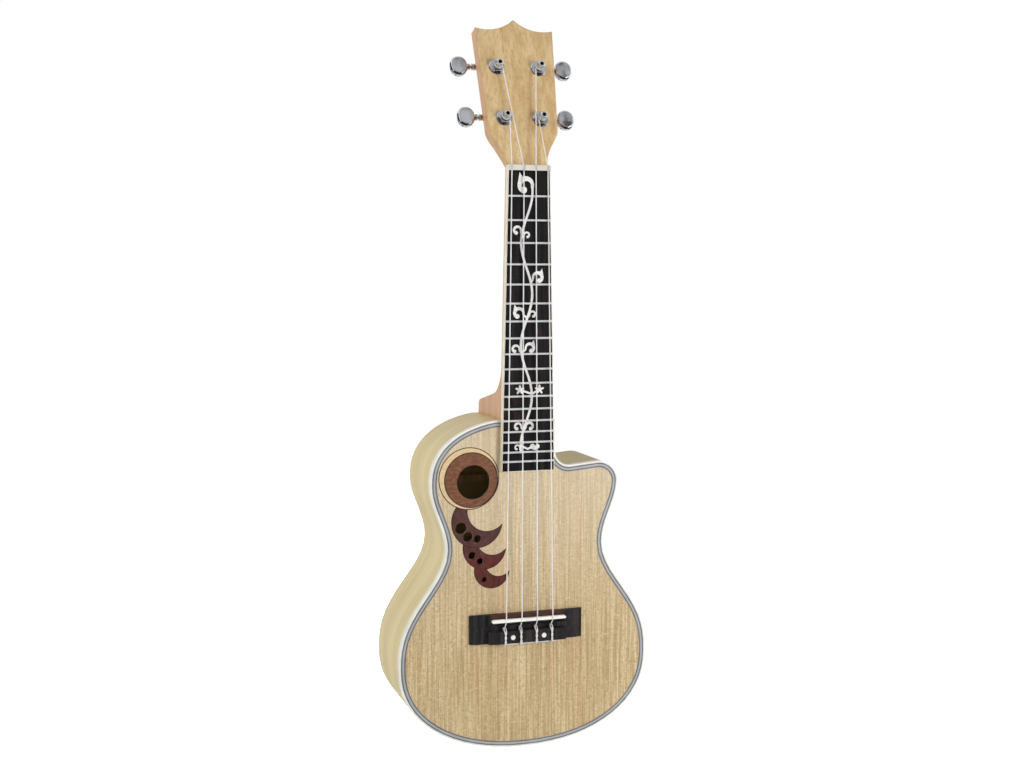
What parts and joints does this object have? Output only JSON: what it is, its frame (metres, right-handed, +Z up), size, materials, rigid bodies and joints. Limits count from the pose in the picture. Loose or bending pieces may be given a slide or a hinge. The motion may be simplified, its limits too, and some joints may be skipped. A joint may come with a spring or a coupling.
{
  "type": "ukulele",
  "caption": "Cutaway ukulele with side soundholes, crescent inlays, a tie bridge, vine-inlaid fretboard and worm-geared tuners that turn.",
  "frame": {"origin": "middle of the line where the nut meets the fretboard, on the plane of the soundboard's face", "axes": "+Z up along the neck to the headstock, -Y out of the soundboard, +X to the right of a viewer who faces the soundboard"},
  "size_m": [0.2244, 0.0952, 0.6279],
  "materials": {
    "spruce": "satin lacquer",
    "side_wood": "satin lacquer",
    "white_binding": "polished",
    "purfling_dark": "satin lacquer",
    "purfling_light": "satin lacquer",
    "block_wood": "sanded",
    "brace_wood": "sanded",
    "ring_veneer": "satin lacquer",
    "crescent_veneer": "satin lacquer",
    "pale_veneer": "satin lacquer",
    "line_veneer": "satin lacquer",
    "rosewood": "oiled",
    "bone": "polished",
    "pearl": "polished",
    "neck_wood": "satin lacquer",
    "cream_binding": "polished",
    "fret_metal": "polished",
    "housing_metal": "polished",
    "chrome": "polished",
    "nylon": "clear nylon",
    "gear_brass": "machined",
    "worm_steel": "machined"
  },
  "bodies": {
    "instrument": {"soundboard": "spruce", "back": "side_wood", "side_left": "side_wood", "side_right": "side_wood", "front_binding": "white_binding", "purfling_dark": "purfling_dark", "purfling_light": "purfling_light", "neck_block": "block_wood", "tail_block": "block_wood", "front_lining": "block_wood", "back_lining": "block_wood", "soundboard_braces": "brace_wood", "back_braces": "brace_wood", "bridge_plate": "block_wood", "neck_dowels": "block_wood", "soundhole_ring": "ring_veneer", "crescent_inlays": "crescent_veneer", "pale_inlay": "pale_veneer", "inlay_lines": "line_veneer", "bridge": "rosewood", "saddle": "bone", "bridge_dots": "pearl", "neck": "neck_wood", "fretboard": "rosewood", "fretboard_binding": "cream_binding", "frets": "fret_metal", "vine_inlay": "pearl", "nut": "bone", "tuner_housings": "housing_metal", "tuner_covers": "housing_metal", "tuner_bushings": "chrome", "tuner_washers": "chrome", "tuner_screws": "chrome", "string_1": "nylon", "string_2": "nylon", "string_3": "nylon", "string_4": "nylon"},
    "tuner_button_1": {"button_shaft_1": "chrome", "worm_1": "worm_steel", "button_1": "chrome"},
    "tuner_post_1": {"post_1": "chrome", "gear_1": "gear_brass"},
    "tuner_button_2": {"button_shaft_2": "chrome", "worm_2": "worm_steel", "button_2": "chrome"},
    "tuner_post_2": {"post_2": "chrome", "gear_2": "gear_brass"},
    "tuner_button_3": {"button_shaft_3": "chrome", "worm_3": "worm_steel", "button_3": "chrome"},
    "tuner_post_3": {"post_3": "chrome", "gear_3": "gear_brass"},
    "tuner_button_4": {"button_shaft_4": "chrome", "worm_4": "worm_steel", "button_4": "chrome"},
    "tuner_post_4": {"post_4": "chrome", "gear_4": "gear_brass"}
  },
  "joints": [
    {"name": "button_1_turn", "type": "hinge", "parent": "instrument", "child": "tuner_button_1", "pos_m": [-0.0161, 0.03105, 0.04626], "axis": [-1, 0, 0], "continuous": true},
    {"name": "post_1_turn", "type": "hinge", "parent": "instrument", "child": "tuner_post_1", "pos_m": [-0.0161, 0.01273, 0.04473], "axis": [0, -0.9532, 0.3024], "continuous": true},
    {"name": "button_2_turn", "type": "hinge", "parent": "instrument", "child": "tuner_button_2", "pos_m": [-0.0186, 0.04508, 0.09049], "axis": [-1, 0, 0], "continuous": true},
    {"name": "post_2_turn", "type": "hinge", "parent": "instrument", "child": "tuner_post_2", "pos_m": [-0.0186, 0.02676, 0.08896], "axis": [0, -0.9532, 0.3024], "continuous": true},
    {"name": "button_3_turn", "type": "hinge", "parent": "instrument", "child": "tuner_button_3", "pos_m": [0.0186, 0.04508, 0.09049], "axis": [1, 0, 0], "continuous": true},
    {"name": "post_3_turn", "type": "hinge", "parent": "instrument", "child": "tuner_post_3", "pos_m": [0.0186, 0.02676, 0.08896], "axis": [0, -0.9532, 0.3024], "continuous": true},
    {"name": "button_4_turn", "type": "hinge", "parent": "instrument", "child": "tuner_button_4", "pos_m": [0.0161, 0.03105, 0.04626], "axis": [1, 0, 0], "continuous": true},
    {"name": "post_4_turn", "type": "hinge", "parent": "instrument", "child": "tuner_post_4", "pos_m": [0.0161, 0.01273, 0.04473], "axis": [0, -0.9532, 0.3024], "continuous": true}
  ],
  "couplings": [
    {"joint": "post_1_turn", "follows": "button_1_turn", "ratio": -0.071429},
    {"joint": "post_2_turn", "follows": "button_2_turn", "ratio": -0.071429},
    {"joint": "post_3_turn", "follows": "button_3_turn", "ratio": -0.071429},
    {"joint": "post_4_turn", "follows": "button_4_turn", "ratio": -0.071429}
  ]
}
